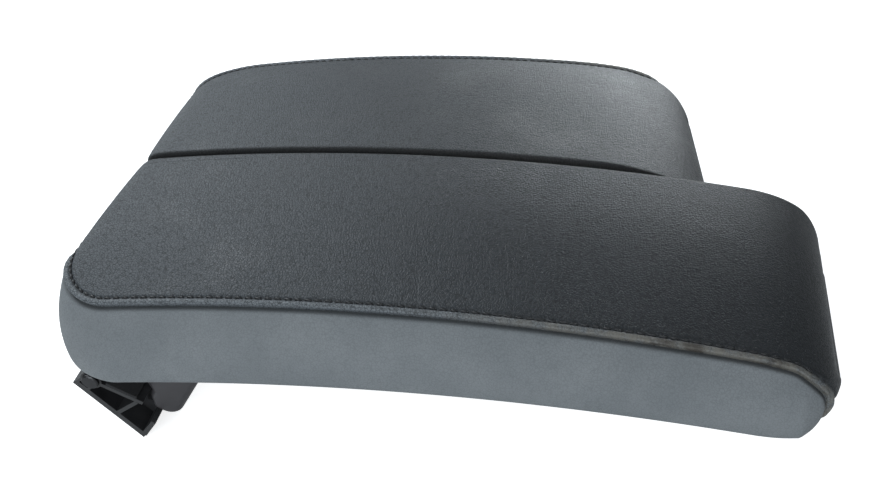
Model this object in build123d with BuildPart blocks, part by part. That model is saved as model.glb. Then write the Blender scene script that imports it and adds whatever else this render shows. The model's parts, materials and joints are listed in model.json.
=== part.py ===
"""Split armrest lid of a car centre console: two padded leather lids on one rear hinge bracket.

Millimetres. +X runs to the front of the car, +Z is up, and the gap between the lids is the plane Y = 0.
The long lid is on the -Y side and the short lid on the +Y side. Both lids are closed.
The origin is midway between the two bolt holes, on the bracket's sloping mounting face.
"""
from build123d import *
import math
import os
from dataclasses import dataclass

os.makedirs("parts", exist_ok=True)


@dataclass
class Lid:
    """One half of the armrest; side is -1 for the half at -Y and +1 for the half at +Y."""

    name: str
    side: int
    length: float
    width: float


# Lids: lengths along the gap, widths at the seam near the rear end
LONG_LID = Lid("long", -1, 348.0, 102.0)
SHORT_LID = Lid("short", 1, 291.0, 121.0)
LID_GAP = 3.0
ARCH_SPAN = 348.0
ARCH_RISE = 13.5
SEAM_HEIGHT_REAR = 40.0
SEAM_HEIGHT_FRONT = 32.5
CROWN = 12.5
SIDE_BOW = 11.0
FRONT_WIDENING = 3.0
SIDE_FLARE = 13.0
REAR_CORNER = 29.0
FRONT_CORNER = 23.0
FRONT_SKEW = 14.5
FRONT_WALL = 8.0
FRONT_ROLL_OVERLAP = 0.6
FRONT_ROLL = 42.0
GAP_EDGE_RADIUS = 6.0
LOWER_EDGE_RADIUS = 7.0

# Leather covers
LEATHER = 1.5
FOAM_PLAY = 0.5
HEM = 12.0
SEAM_STEP = 0.6
BAND_FRONT_SETBACK = 5.5
BAND_END_RADIUS = 14.0
BAND_BELOW_BASE = 4.0
BAND_GAP_MARGIN = 8.0

# Lid frame, inner panel and the play between them
PLAY = 0.3
FRAME_INSET = 4.0
FRAME_TOP = 18.0
FRAME_PLATE = 3.0
FRAME_RIM = 3.0
RIB = 2.2
RIB_PITCH_X = 44.0
RIB_PITCH_Y = 28.0
PANEL = 2.5
PANEL_RECESS = 0.6
PANEL_GAP = 0.8

# Hinge bracket, as seen from the side: along its mounting face and square to it
FLANGE_SLOPE = 54.0
FLANGE = 3.4
FLANGE_ABOVE_BOLTS = 26.0
FLANGE_BELOW_BOLTS = 21.0
BRACKET_WIDTH = 196.0
CHEEK_WIDTH = 16.0
CHEEK_WEB = 2.5
INNER_WALL = 2.4
INNER_WALL_END = 21.0
CROSS_RIB = 2.2
CROSS_RIB_FROM_BOLTS = 1.0
TOE_HEIGHT = 14.5
TOE_LEAN = 4.0
TOE_LIP_HEIGHT = 9.0
PIVOT_BOSS_RADIUS = 5.4
PIVOT_NECK_WIDTH = 8.1
SUPPORT_WEB = 3.5
BOLT_SPACING = 72.0
BOLT_HOLE_RADIUS = 3.2
BOLT_PAD_RADIUS = 7.5
BOLT_PAD_RISE = 1.6
CABLE_SLOT_LENGTH = 5.5
CABLE_SLOT_WIDTH = 1.8
FELT = 1.5
FELT_FROM_PIN = 7.2
FELT_FROM_WALL_END = 3.8

# Hinge pin, bushes and arms
PIN_ABOVE_BOLTS = 22.0
PIN_STANDOFF = 10.0
PIN_RADIUS = 2.5
PIN_HEAD_RADIUS = 4.4
PIN_HEAD = 1.8
PIN_END = 4.0
CLIP = 1.2
CLIP_RADIUS = 5.0
RUNNING_FIT = 0.05
PRESS_FIT = 0.02
BUSH_WALL = 1.4
BUSH_FLANGE = 0.8
BUSH_FLANGE_RADIUS = 5.6
AXIAL_PLAY = 0.2
HUB_RADIUS = 6.0
HUB_WIDTH = 10.0
ARM_WIDTH = 21.0
ARM_EDGE = 3.5
ARM_SEAT = 13.0
ARM_FOOT = 4.0
ARM_FOOT_REAR = 11.0
ARM_FOOT_LENGTH = 65.0
ARM_SCREW_FROM_END = 4.5
ARM_CLEARANCE = 2.0
THROAT = 26.0
THROAT_DEPTH = 11.5
THROAT_BEND = 12.0
THROAT_CORNER = 1.5
HEEL_BEND = 5.0
NECK_REAR = 21.0
NECK_FRONT = 62.0
NECK_TAPER = 7.0
HEEL_DEPTH = 24.0
HEEL_RADIUS = 4.0
LOBE_DEPTH = 31.0
LOBE_REACH = 35.0
LOBE_RADIUS = 8.0
SHIN_BEND = 25.0
NECK_BEND = 15.0

# Pads over the hinge pin
LID_OVER_PIN = 17.0
LID_REAR_FROM_PIN = 1.0

# Release lever at the front of each lid
LEVER_WIDTH = 38.0
LEVER_REACH = 26.0
LEVER_PLATE = 3.0
LEVER_SETBACK = 24.0
LEVER_FROM_GAP = 52.0
LEVER_PIVOT_HEIGHT = 8.0
LEVER_HUB_RADIUS = 4.0
LEVER_PIN_RADIUS = 1.5
LEVER_PLAY = 1.5
HOOK_DROP = 16.0
HOOK_WIDTH = 12.0
HOOK_BARB = 5.0
HOOK_BARB_NOSE = 1.2
HOOK_BARB_HEIGHT = 7.0
HOOK_SHANK = 3.0
EAR = 3.0
LEAF_SPRING = 0.6
LEAF_WIDTH = 8.0
LEAF_ROOT = 6.5
LEAF_BEND = 13.0
LEAF_CONTACT = 22.0
LEAF_TIP = 24.5

# Fasteners and buffers
SCREW_SHANK_RADIUS = 1.6
SCREW_HEAD_RADIUS = 3.4
SCREW_HEAD = 2.0
SCREW_BITE = 6.0
SCREW_BOSS_RADIUS = 4.0
SCREW_FROM_EDGE = 26.0
BUFFER_RADIUS = 6.0
BUFFER_RISE = 3.0
BUFFER_STEM_RADIUS = 2.2
BUFFER_FROM_FRONT = 62.0

# Places that follow from the sizes above
slope = math.radians(FLANGE_SLOPE)
along_face = Vector(math.cos(slope), 0, -math.sin(slope))
off_face = Vector(math.sin(slope), 0, math.cos(slope))
pin_place = off_face * PIN_STANDOFF - along_face * PIN_ABOVE_BOLTS
PAD_X = pin_place.X + LID_REAR_FROM_PIN
PAD_Z = pin_place.Z + LID_OVER_PIN
CHEEK_INNER_Y = BRACKET_WIDTH / 2 - CHEEK_WIDTH
HUB_CENTRE_Y = CHEEK_INNER_Y - AXIAL_PLAY - BUSH_FLANGE - HUB_WIDTH / 2
SUPPORT_OUTER_Y = HUB_CENTRE_Y - HUB_WIDTH / 2 - BUSH_FLANGE - AXIAL_PLAY
ARM_OUTER_Y = HUB_CENTRE_Y - HUB_WIDTH / 2 + ARM_WIDTH
ON_TOP_CENTRE = (Align.CENTER, Align.CENTER, Align.MAX)
ON_BASE_CENTRE = (Align.CENTER, Align.CENTER, Align.MIN)
BUSH_RADIUS = PIN_RADIUS + RUNNING_FIT + BUSH_WALL
FRAME_BOTTOM = PANEL_RECESS + PANEL + PLAY
BELOW_LID = -SEAM_HEIGHT_REAR
THROUGH_LID = 2 * (SEAM_HEIGHT_REAR + CROWN + ARCH_RISE)
FACING_DOWN = -0.9


def arch_circle(rear_height, front_height):
    """Centre and radius of the arch whose ends have these heights over the lids' base."""
    chord = math.hypot(ARCH_SPAN, front_height - rear_height)
    radius = (chord**2 / 4 + ARCH_RISE**2) / (2 * ARCH_RISE)
    middle = Vector(ARCH_SPAN / 2, 0, (rear_height + front_height) / 2)
    lean = Vector(-(front_height - rear_height), 0, ARCH_SPAN).normalized()
    return middle + lean * (ARCH_RISE - radius), radius


base_centre, base_radius = arch_circle(0, 0)
seam_centre, seam_radius = arch_circle(SEAM_HEIGHT_REAR, SEAM_HEIGHT_FRONT)


def base_z(x):
    """Height of the lids' arched underside over their base plane."""
    return base_centre.Z + math.sqrt(base_radius**2 - (x - base_centre.X) ** 2)


def seam_z(x):
    """Height of the seam between the top leather and the side leather."""
    return seam_centre.Z + math.sqrt(seam_radius**2 - (x - seam_centre.X) ** 2)


def crown_z(x):
    """Height of the top leather along the gap."""
    return seam_z(x) + CROWN


def pad_level(height):
    """Horizontal plane at a height over the lids' base, with x counted from their rear end."""
    return Plane((PAD_X, 0, PAD_Z + height))


def pad_point(lid, x, from_gap, height):
    """A point counted from the lids' rear end, the gap and the lids' base."""
    return Vector(PAD_X + x, lid.side * from_gap, PAD_Z + height)


def pad_side_plane(y=0.0):
    """Upright plane along the lids, with x counted from their rear end and y up from their base."""
    return Plane((PAD_X, y, PAD_Z), x_dir=(1, 0, 0), z_dir=(0, -1, 0))


def bracket_side_plane(y):
    """Upright plane with x along the mounting face, forwards and down, and y square to it."""
    return Plane((0, y, 0), x_dir=along_face, z_dir=(0, -1, 0))


def arm_side_plane(y):
    """Upright plane with its origin on the hinge pin's axis."""
    return Plane((pin_place.X, y, pin_place.Z), x_dir=(1, 0, 0), z_dir=(0, -1, 0))


def wall_offset(height):
    """How far the flared outer wall stands outside the seam outline at a height over the base."""
    return SIDE_FLARE * (1 - height / SEAM_HEIGHT_REAR)


def front_edge(lid, from_gap, inset):
    """How far the lid's skewed front reaches at a distance from the gap."""
    return lid.length - inset - from_gap * FRONT_SKEW / lid.width


def draw_plan_outline(lid, flare, inset):
    """A lid's outline seen from above: straight at the gap, bowed outside and skewed at the front."""
    near_gap = LID_GAP / 2 + inset
    outside = lid.width + flare - inset
    rear = inset - flare
    front_x = front_edge(lid, near_gap, inset)
    front_outer_x = front_edge(lid, outside + FRONT_WIDENING, inset)
    rear_outer = (rear, lid.side * outside)
    front_outer = (front_outer_x, lid.side * (outside + FRONT_WIDENING))
    side_middle = ((rear + front_outer_x) / 2, lid.side * (outside + FRONT_WIDENING / 2 + SIDE_BOW))
    with BuildLine() as outline:
        Polyline((front_x, lid.side * near_gap), (rear, lid.side * near_gap), rear_outer)
        ThreePointArc(rear_outer, side_middle, front_outer)
        Line(front_outer, (front_x, lid.side * near_gap))
    make_face(outline.edges())
    outer = [v for v in vertices() if abs(v.Y) > outside / 2]
    outer.sort(key=lambda v: v.X)
    fillet(outer[0], REAR_CORNER + flare - inset)
    front_outer_vertex = max((v for v in vertices() if abs(v.Y) > outside / 2), key=lambda v: v.X)
    fillet(front_outer_vertex, FRONT_CORNER + flare / 2 - inset)


def pad_envelope(lid, inset):
    """The padded lid's whole outer form, drawn in by an inset on every side."""
    low = -ARCH_RISE / 2
    high = SEAM_HEIGHT_REAR + CROWN + 2 * ARCH_RISE
    reach = lid.width + SIDE_FLARE + 2 * SIDE_BOW
    with BuildPart() as walls:
        for height in (low, high):
            with BuildSketch(pad_level(height)):
                draw_plan_outline(lid, wall_offset(height), inset)
        loft(ruled=True)
    near_gap = lid.side * (LID_GAP / 2 + inset)
    crest = seam_radius + CROWN - inset
    crown_radius = (lid.width**2 + CROWN**2) / (2 * CROWN)
    edge_drop = crown_radius - math.sqrt(crown_radius**2 - reach**2)
    half_drop = crown_radius - math.sqrt(crown_radius**2 - (reach / 2) ** 2)
    arch_middle = (PAD_X + seam_centre.X, 0, PAD_Z + seam_centre.Z)
    half_turn = (ARCH_SPAN / 2 + 2 * SIDE_FLARE) / seam_radius
    to_front = (math.cos(half_turn), 0, math.sin(half_turn))
    with BuildPart() as crown:
        with BuildSketch(Plane(arch_middle, x_dir=(0, 1, 0), z_dir=to_front)):
            with BuildLine():
                Polyline((lid.side * reach, crest - edge_drop), (lid.side * reach, crest - reach),
                         (near_gap, crest - reach), (near_gap, crest))
                ThreePointArc((near_gap, crest), (lid.side * reach / 2, crest - half_drop),
                              (lid.side * reach, crest - edge_drop))
            make_face()
            gap_edge = min(vertices(), key=lambda v: abs(v.Y - crest) + abs(v.X - near_gap))
            fillet(gap_edge, GAP_EDGE_RADIUS - inset)
        revolve(axis=Axis(arch_middle, (0, 1, 0)), revolution_arc=math.degrees(2 * half_turn))
    rear = -2 * SIDE_FLARE
    front = lid.length - inset + FRONT_ROLL_OVERLAP
    roll_start = front - FRONT_ROLL
    step = base_z(front) + FRONT_WALL
    roll_height = crown_z(roll_start) - inset - step
    skew = Vector(-FRONT_SKEW / lid.width, lid.side, 0)
    with BuildPart() as side_form:
        with BuildSketch(pad_side_plane()):
            with BuildLine():
                ThreePointArc((rear, base_z(rear) + inset), (ARCH_SPAN / 2, base_z(ARCH_SPAN / 2) + inset),
                              (front, base_z(front) + inset))
                Line((front, base_z(front) + inset), (front, step))
                EllipticalCenterArc((roll_start, step), FRONT_ROLL, roll_height, 0, arc_size=90)
                Polyline((roll_start, step + roll_height), (roll_start, high), (rear, high),
                         (rear, base_z(rear) + inset))
            make_face()
        extrude(amount=2 * reach, dir=skew.normalized())
    with BuildPart() as envelope:
        add(walls.part)
        add(crown.part, mode=Mode.INTERSECT)
        add(side_form.part, mode=Mode.INTERSECT)
        underside = faces().filter_by(lambda f: f.normal_at().Z < FACING_DOWN).sort_by(SortBy.AREA)[-1]
        outer_edges = [e for e in underside.edges() if abs(e.center().Y) > 2 * LID_GAP]
        fillet(outer_edges, LOWER_EDGE_RADIUS - inset)
    return envelope.part


def arched_slab(lid, low, high):
    """A slab across a lid between two heights over its arched underside."""
    rear = -2 * SIDE_FLARE
    front = lid.length + SIDE_FLARE
    middle = ARCH_SPAN / 2
    with BuildPart() as slab:
        with BuildSketch(pad_side_plane()):
            with BuildLine():
                ThreePointArc((rear, base_z(rear) + low), (middle, base_z(middle) + low),
                              (front, base_z(front) + low))
                Line((front, base_z(front) + low), (front, base_z(front) + high))
                ThreePointArc((front, base_z(front) + high), (middle, base_z(middle) + high),
                              (rear, base_z(rear) + high))
                Line((rear, base_z(rear) + high), (rear, base_z(rear) + low))
            make_face()
        extrude(amount=2 * lid.width, both=True)
    return slab.part


def plan_prism(lid, flare, inset):
    """An upright prism on a lid's outline, tall enough to pass through the lid."""
    with BuildPart() as prism:
        with BuildSketch(pad_level(BELOW_LID)):
            draw_plan_outline(lid, flare, inset)
        extrude(amount=THROUGH_LID)
    return prism.part


def box_between(lid, x_range, y_range, margin=0.0):
    """A tall block over a rectangle of the lid's plan, with y counted outwards from the gap."""
    x_low, x_high = x_range[0] - margin, x_range[1] + margin
    y_low, y_high = y_range[0] - margin, y_range[1] + margin
    with BuildPart() as block:
        with BuildSketch(pad_level(BELOW_LID)):
            with Locations(((x_low + x_high) / 2, lid.side * (y_low + y_high) / 2)):
                Rectangle(x_high - x_low, y_high - y_low)
        extrude(amount=THROUGH_LID)
    return block.part


def side_band(lid, shrink):
    """The zone of the side leather: below the seam, round the outside and the rear, round at the front."""
    rear = -2 * SIDE_FLARE
    front = lid.length - FRONT_SKEW - BAND_FRONT_SETBACK - shrink
    below = shrink - BAND_BELOW_BASE
    middle = front / 2
    with BuildPart() as band:
        with BuildSketch(pad_side_plane(lid.side * (LID_GAP / 2 + BAND_GAP_MARGIN + shrink))):
            with BuildLine():
                ThreePointArc((rear, base_z(rear) + below), (middle, base_z(middle) + below),
                              (front, base_z(front) + below))
                Line((front, base_z(front) + below), (front, seam_z(front) - shrink))
                ThreePointArc((front, seam_z(front) - shrink), (middle, seam_z(middle) - shrink),
                              (rear, seam_z(rear) - shrink))
                Line((rear, seam_z(rear) - shrink), (rear, base_z(rear) + below))
            make_face()
            fillet(vertices().group_by(Axis.X)[-1], BAND_END_RADIUS - shrink)
        extrude(amount=-lid.side * 2 * lid.width)
    return band.part


def cover_skin(lid, outer_inset):
    """A leather skin on the foam, open under the lid inside its hem."""
    with BuildPart() as skin:
        add(pad_envelope(lid, outer_inset))
        add(pad_envelope(lid, LEATHER), mode=Mode.SUBTRACT)
        with BuildSketch(pad_level(BELOW_LID)):
            draw_plan_outline(lid, SIDE_FLARE, HEM)
        extrude(amount=-BELOW_LID + ARCH_RISE + 2 * LEATHER, mode=Mode.SUBTRACT)
    return skin.part


def make_covers(lid):
    """The two sewn leather covers: the top with its proud edge at the seam, and the side band."""
    with BuildPart() as top_cover:
        add(cover_skin(lid, 0))
        add(side_band(lid, 0), mode=Mode.SUBTRACT)
    with BuildPart() as side_cover:
        add(cover_skin(lid, SEAM_STEP))
        add(side_band(lid, PLAY), mode=Mode.INTERSECT)
    return top_cover.part, side_cover.part


def make_foam(lid):
    """The moulded foam between the covers and the lid frame."""
    with BuildPart() as room:
        add(plan_prism(lid, 0, FRAME_INSET - PLAY))
        add(arched_slab(lid, -HEM, FRAME_TOP + PLAY), mode=Mode.INTERSECT)
    with BuildPart() as panel_room:
        add(plan_prism(lid, SIDE_FLARE, HEM))
        add(arched_slab(lid, -HEM, FRAME_BOTTOM), mode=Mode.INTERSECT)
    with BuildPart() as foam:
        add(pad_envelope(lid, LEATHER + FOAM_PLAY))
        add(room.part, mode=Mode.SUBTRACT)
        add(panel_room.part, mode=Mode.SUBTRACT)
    return foam.part


def lever_place(lid):
    """The release lever's pivot, from the lid's rear end, the gap and the lid's base."""
    x = lid.length - LEVER_SETBACK - LEVER_REACH
    return x, LEVER_FROM_GAP, base_z(x) + LEVER_PIVOT_HEIGHT


def lever_pocket(lid):
    """Ranges of x and of distance from the gap that the lever and its ears need."""
    x, from_gap, _ = lever_place(lid)
    half = LEVER_WIDTH / 2 + LEVER_PLAY
    return (x - 2 * LEVER_HUB_RADIUS, x + LEVER_REACH + LEVER_PLAY), (from_gap - half, from_gap + half)


def arm_foot_ranges():
    """Ranges of x and of distance from the gap that the arm's foot covers."""
    return (ARM_FOOT_REAR, ARM_FOOT_REAR + ARM_FOOT_LENGTH), (ARM_OUTER_Y - ARM_WIDTH, ARM_OUTER_Y)


def arm_neck_ranges():
    """Ranges of x and of distance from the gap where the arm's neck passes through the inner panel."""
    x_range = (NECK_REAR - LID_REAR_FROM_PIN, NECK_FRONT - LID_REAR_FROM_PIN)
    return x_range, (ARM_OUTER_Y - ARM_WIDTH, ARM_OUTER_Y)


def panel_screw_places(lid):
    """Where the inner panel's screws stand: x from the rear end and distance from the gap."""
    rear = SCREW_FROM_EDGE / 2
    middle = lid.length / 2
    front = lid.length - FRONT_SKEW - SCREW_FROM_EDGE
    outside = lid.width - SCREW_FROM_EDGE
    return (rear, SCREW_FROM_EDGE), (middle, SCREW_FROM_EDGE), (middle, outside + rear), (front, outside)


def buffer_places(lid):
    """Where the closing buffers stand: x from the rear end and distance from the gap."""
    x = lid.length - BUFFER_FROM_FRONT
    clear_of_hem = HEM + PANEL_GAP + BUFFER_RADIUS
    return ((x, LID_GAP / 2 + clear_of_hem), (x, lid.width + SIDE_FLARE - clear_of_hem))


def lowest_panel_z(x, radius):
    """Lowest height of the inner panel's underside within a radius of x."""
    return min(base_z(x - radius), base_z(x + radius)) + PANEL_RECESS


def make_frame(lid):
    """The ribbed moulded frame that carries the padding, the arm and the release lever."""
    plate_under = FRAME_TOP - FRAME_PLATE
    lever_x, from_gap, lever_z = lever_place(lid)
    with BuildPart() as ribs:
        with BuildSketch(pad_level(BELOW_LID)):
            with GridLocations(RIB_PITCH_X, 0, int(2 * lid.length / RIB_PITCH_X), 1):
                Rectangle(RIB, 4 * lid.width)
            with GridLocations(0, RIB_PITCH_Y, 1, int(4 * lid.width / RIB_PITCH_Y)):
                Rectangle(4 * lid.length, RIB)
            for x, y in panel_screw_places(lid):
                with Locations((x, lid.side * y)):
                    Circle(SCREW_BOSS_RADIUS)
        extrude(amount=THROUGH_LID)
        add(plan_prism(lid, 0, FRAME_INSET), mode=Mode.INTERSECT)
        add(arched_slab(lid, FRAME_BOTTOM, plate_under + FRAME_PLATE / 2), mode=Mode.INTERSECT)
        add(box_between(lid, *lever_pocket(lid), margin=EAR + PLAY), mode=Mode.SUBTRACT)
    with BuildPart() as hollow:
        add(plan_prism(lid, 0, FRAME_INSET + FRAME_RIM))
        add(arched_slab(lid, -HEM, plate_under), mode=Mode.INTERSECT)
    with BuildPart() as arm_room:
        add(box_between(lid, *arm_foot_ranges(), margin=ARM_CLEARANCE))
        add(arched_slab(lid, -HEM, ARM_SEAT), mode=Mode.INTERSECT)
    with BuildPart() as arm_boss:
        add(box_between(lid, *arm_foot_ranges(), margin=ARM_CLEARANCE))
        add(arched_slab(lid, ARM_SEAT, plate_under + FRAME_PLATE / 2), mode=Mode.INTERSECT)
        add(plan_prism(lid, 0, FRAME_INSET), mode=Mode.INTERSECT)
    with BuildPart() as frame:
        add(plan_prism(lid, 0, FRAME_INSET))
        add(arched_slab(lid, FRAME_BOTTOM, FRAME_TOP), mode=Mode.INTERSECT)
        add(hollow.part, mode=Mode.SUBTRACT)
        add(ribs.part)
        add(arm_room.part, mode=Mode.SUBTRACT)
        add(arm_boss.part)
        ear_top = base_z(lever_x) + plate_under + FRAME_PLATE / 2
        for end in (-1, 1):
            ear_y = lid.side * from_gap + end * (LEVER_WIDTH / 2 + PLAY + EAR / 2)
            with BuildSketch(pad_side_plane(ear_y)):
                with Locations((lever_x, lever_z)):
                    Circle(LEVER_HUB_RADIUS)
                with Locations((lever_x, (lever_z + ear_top) / 2)):
                    Rectangle(2 * LEVER_HUB_RADIUS, ear_top - lever_z)
                with Locations((lever_x, lever_z)):
                    Circle(LEVER_PIN_RADIUS + PRESS_FIT, mode=Mode.SUBTRACT)
            extrude(amount=EAR / 2, both=True)
        screw_tips = [(x, y, base_z(x) + FRAME_BOTTOM + SCREW_BITE) for x, y in panel_screw_places(lid)]
        screw_tips += [(x, y, base_z(x) + FRAME_TOP - PLAY) for x, y in arm_screw_places()]
        for x, y, tip in screw_tips:
            with Locations(pad_point(lid, x, y, tip)):
                Cylinder(SCREW_SHANK_RADIUS + PRESS_FIT, FRAME_TOP, align=ON_TOP_CENTRE, mode=Mode.SUBTRACT)
    return frame.part


def arm_screw_places():
    """Where the arm's screws stand: x from the lids' rear end and distance from the gap."""
    (rear, front), (inner, outer) = arm_foot_ranges()
    return tuple((x, (inner + outer) / 2) for x in (rear + ARM_SCREW_FROM_END, front - ARM_SCREW_FROM_END))


def make_panel(lid):
    """The trim panel that closes the lid's underside, with openings for the arm and the lever."""
    with BuildPart() as panel:
        add(plan_prism(lid, SIDE_FLARE, HEM + PANEL_GAP))
        add(arched_slab(lid, PANEL_RECESS, PANEL_RECESS + PANEL), mode=Mode.INTERSECT)
        add(box_between(lid, *arm_neck_ranges(), margin=ARM_CLEARANCE), mode=Mode.SUBTRACT)
        add(box_between(lid, *lever_pocket(lid)), mode=Mode.SUBTRACT)
        with BuildSketch(pad_level(BELOW_LID)):
            for x, y in panel_screw_places(lid):
                with Locations((x, lid.side * y)):
                    Circle(SCREW_SHANK_RADIUS + PLAY)
            for x, y in buffer_places(lid):
                with Locations((x, lid.side * y)):
                    Circle(BUFFER_STEM_RADIUS + PRESS_FIT)
        extrude(amount=THROUGH_LID, mode=Mode.SUBTRACT)
    return panel.part


def make_screws(lid, places, head_seat, bite):
    """Pan-head screws driven up into the frame; head_seat gives the height that each head bears on."""
    with BuildPart() as screws:
        for x, y in places:
            with Locations(pad_point(lid, x, y, head_seat(x))):
                Cylinder(SCREW_SHANK_RADIUS, bite, align=ON_BASE_CENTRE)
                Cylinder(SCREW_HEAD_RADIUS, SCREW_HEAD, align=ON_TOP_CENTRE)
    return screws.part


def make_buffers(lid):
    """Rubber buffers with a domed foot and a stem pushed into the inner panel."""
    with BuildPart() as buffers:
        for x, y in buffer_places(lid):
            seat = pad_point(lid, x, y, lowest_panel_z(x, BUFFER_RADIUS))
            with Locations(seat):
                Cylinder(BUFFER_STEM_RADIUS, PANEL, align=ON_BASE_CENTRE)
                Cylinder(BUFFER_RADIUS, BUFFER_RISE, align=ON_TOP_CENTRE)
        fillet(edges().filter_by(GeomType.CIRCLE).group_by(Axis.Z)[0], BUFFER_RISE / 2)
    return buffers.part


def make_arm(lid):
    """The gooseneck arm: a foot under the frame, a neck past the rim and a leg back to the pin."""
    inner_y = lid.side * (ARM_OUTER_Y - ARM_WIDTH)
    neck_top_rear = LID_OVER_PIN + base_z(NECK_REAR) + ARM_SEAT - ARM_FOOT / 2
    neck_top_front = LID_OVER_PIN + base_z(NECK_FRONT) + ARM_SEAT - ARM_FOOT / 2
    heel = THROAT - ARM_CLEARANCE
    corners = ((NECK_REAR, LID_OVER_PIN / 2), (THROAT, -THROAT_DEPTH),
               (heel, -THROAT_DEPTH - 2 * ARM_CLEARANCE), (heel, -HEEL_DEPTH), (LOBE_REACH, -LOBE_DEPTH),
               (NECK_FRONT - NECK_TAPER, 0), (NECK_FRONT, LID_OVER_PIN))
    bends = (THROAT_BEND, THROAT_CORNER, HEEL_BEND, HEEL_RADIUS, LOBE_RADIUS, SHIN_BEND, NECK_BEND)
    with BuildPart() as arm:
        with BuildSketch(arm_side_plane(inner_y)):
            with BuildLine():
                FilletPolyline((NECK_REAR, neck_top_rear), *corners, (NECK_FRONT, neck_top_front),
                               radius=bends)
                Line((NECK_FRONT, neck_top_front), (NECK_REAR, neck_top_rear))
            make_face()
        extrude(amount=-lid.side * ARM_WIDTH)
        outer_face = faces().filter_by(Axis.Y).sort_by(Axis.Y)[-1 if lid.side > 0 else 0]
        fillet([e for e in outer_face.edges() if e.center().Z < PAD_Z], ARM_EDGE)
        with BuildSketch(arm_side_plane(lid.side * (HUB_CENTRE_Y - HUB_WIDTH / 2))):
            Circle(HUB_RADIUS)
            with Locations((LOBE_REACH, -LOBE_DEPTH / 2)):
                Circle(LOBE_RADIUS)
            make_hull()
        extrude(amount=-lid.side * HUB_WIDTH)
        with BuildSketch(arm_side_plane(lid.side * HUB_CENTRE_Y)):
            Circle(BUSH_RADIUS + PRESS_FIT)
        extrude(amount=HUB_WIDTH, both=True, mode=Mode.SUBTRACT)
        add(make_arm_foot(lid))
        for x, y in arm_screw_places():
            with Locations(pad_point(lid, x, y, base_z(x) + ARM_SEAT)):
                Cylinder(SCREW_SHANK_RADIUS + PLAY, 3 * ARM_FOOT, mode=Mode.SUBTRACT)
    return arm.part


def make_arm_foot(lid):
    """The arm's curved foot, which bears on the boss of the lid frame."""
    with BuildPart() as foot:
        add(box_between(lid, *arm_foot_ranges()))
        add(arched_slab(lid, ARM_SEAT - ARM_FOOT, ARM_SEAT), mode=Mode.INTERSECT)
    return foot.part


def make_bushes(lid):
    """A pair of flanged bushes pushed into the arm's hub from both sides."""
    with BuildPart() as bushes:
        for end in (-1, 1):
            hub_face = lid.side * HUB_CENTRE_Y + end * HUB_WIDTH / 2
            with BuildSketch(arm_side_plane(hub_face)):
                Circle(BUSH_RADIUS)
                Circle(PIN_RADIUS + RUNNING_FIT, mode=Mode.SUBTRACT)
            extrude(amount=end * (HUB_WIDTH / 2 - PLAY))
            with BuildSketch(arm_side_plane(hub_face)):
                Circle(BUSH_FLANGE_RADIUS)
                Circle(PIN_RADIUS + RUNNING_FIT, mode=Mode.SUBTRACT)
            extrude(amount=-end * BUSH_FLANGE)
    return bushes.part


def make_lever(lid):
    """The release lever: a finger plate flush with the inner panel and a hook that hangs below it."""
    x, from_gap, z = lever_place(lid)
    centre_y = lid.side * from_gap
    hook_depth = LEVER_PIVOT_HEIGHT - PANEL_RECESS + HOOK_DROP
    plate_bottom = [(dx, base_z(x + dx) + PANEL_RECESS - z) for dx in (-LEVER_HUB_RADIUS, LEVER_REACH)]
    (rear, rear_low), (tip, tip_low) = plate_bottom
    barb_tip = -HOOK_SHANK - HOOK_BARB
    with BuildPart() as lever:
        with BuildSketch(Plane(pad_point(lid, x, from_gap, z), x_dir=(1, 0, 0), z_dir=(0, -1, 0))):
            Circle(LEVER_HUB_RADIUS)
            with BuildLine():
                Polyline((rear, 0), (rear, rear_low), (tip, tip_low), (tip, tip_low + LEVER_PLATE),
                         (LEVER_HUB_RADIUS, rear_low + LEVER_PLATE), (LEVER_HUB_RADIUS, 0), close=True)
            make_face()
            Circle(LEVER_PIN_RADIUS + RUNNING_FIT, mode=Mode.SUBTRACT)
        extrude(amount=LEVER_WIDTH / 2, both=True)
        with BuildSketch(Plane(pad_point(lid, x, from_gap, z), x_dir=(1, 0, 0), z_dir=(0, -1, 0))):
            with BuildLine():
                Polyline((-HOOK_SHANK, rear_low), (HOOK_SHANK, rear_low), (HOOK_SHANK, -hook_depth),
                         (barb_tip, HOOK_BARB_NOSE - hook_depth), (barb_tip, HOOK_BARB - hook_depth),
                         (-HOOK_SHANK, HOOK_BARB_HEIGHT - hook_depth), close=True)
            make_face()
        extrude(amount=HOOK_WIDTH / 2, both=True)
    return lever.part


def make_lever_pin(lid):
    """The steel pin that carries the release lever between the frame's ears."""
    x, from_gap, z = lever_place(lid)
    with BuildPart() as lever_pin:
        with BuildSketch(Plane(pad_point(lid, x, from_gap, z), x_dir=(1, 0, 0), z_dir=(0, -1, 0))):
            Circle(LEVER_PIN_RADIUS)
        extrude(amount=LEVER_WIDTH / 2 + PLAY + EAR, both=True)
    return lever_pin.part


def make_lever_spring(lid):
    """The leaf spring that presses the lever's finger plate down from the frame."""
    x, from_gap, z = lever_place(lid)
    ceiling = base_z(x + LEAF_BEND) + FRAME_TOP - FRAME_PLATE - z - LEAF_SPRING
    plate_top = base_z(x + LEAF_CONTACT) + PANEL_RECESS - z + LEVER_PLATE + LEAF_SPRING + PLAY
    with BuildPart() as spring:
        with BuildSketch(Plane(pad_point(lid, x, from_gap, z), x_dir=(1, 0, 0), z_dir=(0, -1, 0))):
            with BuildLine() as leaf:
                Polyline((LEAF_ROOT, ceiling), (LEAF_BEND, ceiling - LEAF_SPRING),
                         (LEAF_CONTACT, plate_top), (LEAF_TIP, plate_top + LEAF_SPRING))
            trace(leaf.edges(), LEAF_SPRING)
        extrude(amount=LEAF_WIDTH / 2, both=True)
    return spring.part


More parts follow.
